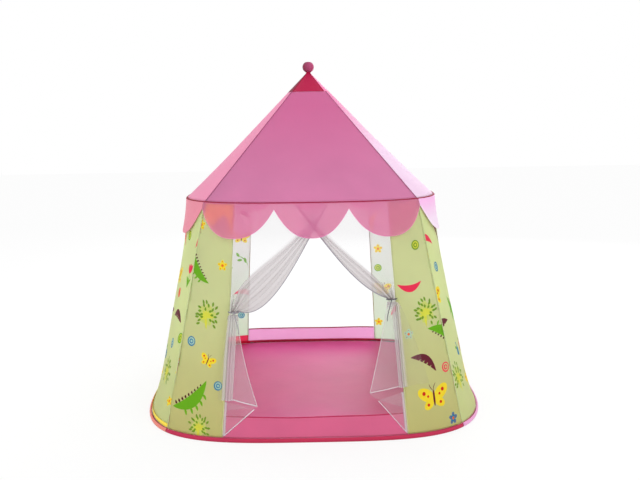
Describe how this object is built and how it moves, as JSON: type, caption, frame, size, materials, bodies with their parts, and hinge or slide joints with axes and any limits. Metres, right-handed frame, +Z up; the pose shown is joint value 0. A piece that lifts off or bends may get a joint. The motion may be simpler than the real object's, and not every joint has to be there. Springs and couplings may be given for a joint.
{
  "type": "kids play tent",
  "caption": "Pop-up play tent with rounded corners, tall pyramid roof, scalloped valance and ball finial, open doorways front and back, and gathered mesh curtains tied at the front doorway.",
  "frame": {"origin": "on the floor at the middle of the tent, at the underside of the floor sheet", "axes": "+Z up; the front doorway, with the curtains, faces -Y; +X is to the right of someone who looks in at the front doorway"},
  "size_m": [1.3286, 1.3286, 1.403],
  "materials": {
    "spring_steel": "satin",
    "sleeve_crimson": "plain weave",
    "sleeve_pale_pink": "plain weave",
    "sleeve_salmon": "plain weave",
    "binding_tape": "ribbed tape",
    "floor_cloth": "coated plain weave",
    "wall_cloth": "printed plain weave",
    "sill_cloth": "plain weave",
    "roof_rose": "plain weave, slightly translucent",
    "roof_pale_pink": "plain weave, slightly translucent",
    "roof_salmon": "plain weave, slightly translucent",
    "cap_cloth": "plain weave",
    "white_plastic": "moulded",
    "glass_fibre": "drawn",
    "curtain_voile": "open mesh",
    "tie_cord": "twisted cord"
  },
  "bodies": {
    "tent": {"apex_hub": "white_plastic", "back_hoop_sleeve": "sleeve_crimson", "back_left_eave_elbow": "white_plastic", "back_left_foot_cup": "white_plastic", "back_left_lower_pole": "glass_fibre", "back_left_panel": "wall_cloth", "back_left_roof_rib": "glass_fibre", "back_left_upper_pole": "glass_fibre", "back_right_eave_elbow": "white_plastic", "back_right_foot_cup": "white_plastic", "back_right_lower_pole": "glass_fibre", "back_right_panel": "wall_cloth", "back_right_roof_rib": "glass_fibre", "back_right_upper_pole": "glass_fibre", "back_roof_panel": "roof_rose", "back_sill": "sill_cloth", "back_valance": "roof_rose", "eave_binding": "binding_tape", "eave_hoop": "spring_steel", "eave_hoop_ferrule": "spring_steel", "finial_ball": "cap_cloth", "floor_hoop": "spring_steel", "floor_hoop_ferrule": "spring_steel", "floor_sheet": "floor_cloth", "front_hoop_sleeve": "sleeve_crimson", "front_left_eave_elbow": "white_plastic", "front_left_foot_cup": "white_plastic", "front_left_lower_pole": "glass_fibre", "front_left_panel": "wall_cloth", "front_left_roof_rib": "glass_fibre", "front_left_upper_pole": "glass_fibre", "front_right_eave_elbow": "white_plastic", "front_right_foot_cup": "white_plastic", "front_right_lower_pole": "glass_fibre", "front_right_panel": "wall_cloth", "front_right_roof_rib": "glass_fibre", "front_right_upper_pole": "glass_fibre", "front_roof_panel": "roof_rose", "front_sill": "sill_cloth", "front_valance": "roof_rose", "left_curtain": "curtain_voile", "left_curtain_gusset": "curtain_voile", "left_curtain_tie": "tie_cord", "left_hoop_sleeve": "sleeve_salmon", "left_roof_panel": "roof_salmon", "left_tie_tail": "tie_cord", "left_valance": "roof_salmon", "left_wall": "wall_cloth", "right_curtain": "curtain_voile", "right_curtain_gusset": "curtain_voile", "right_curtain_tie": "tie_cord", "right_hoop_sleeve": "sleeve_pale_pink", "right_roof_panel": "roof_pale_pink", "right_tie_tail": "tie_cord", "right_valance": "roof_pale_pink", "right_wall": "wall_cloth", "roof_cap": "cap_cloth"},
    "left_curtain_flap": {"left_curtain_skirt": "curtain_voile"},
    "right_curtain_flap": {"right_curtain_skirt": "curtain_voile"}
  },
  "joints": [
    {"name": "left_curtain_swing", "type": "hinge", "parent": "tent", "child": "left_curtain_flap", "pos_m": [-0.3232, -0.6118, 0.1], "axis": [0.0519, 0.2002, 0.9784], "range_deg": [0, 80]},
    {"name": "right_curtain_swing", "type": "hinge", "parent": "tent", "child": "right_curtain_flap", "pos_m": [0.3232, -0.6118, 0.1], "axis": [0.0519, -0.2002, -0.9784], "range_deg": [0, 80]}
  ]
}
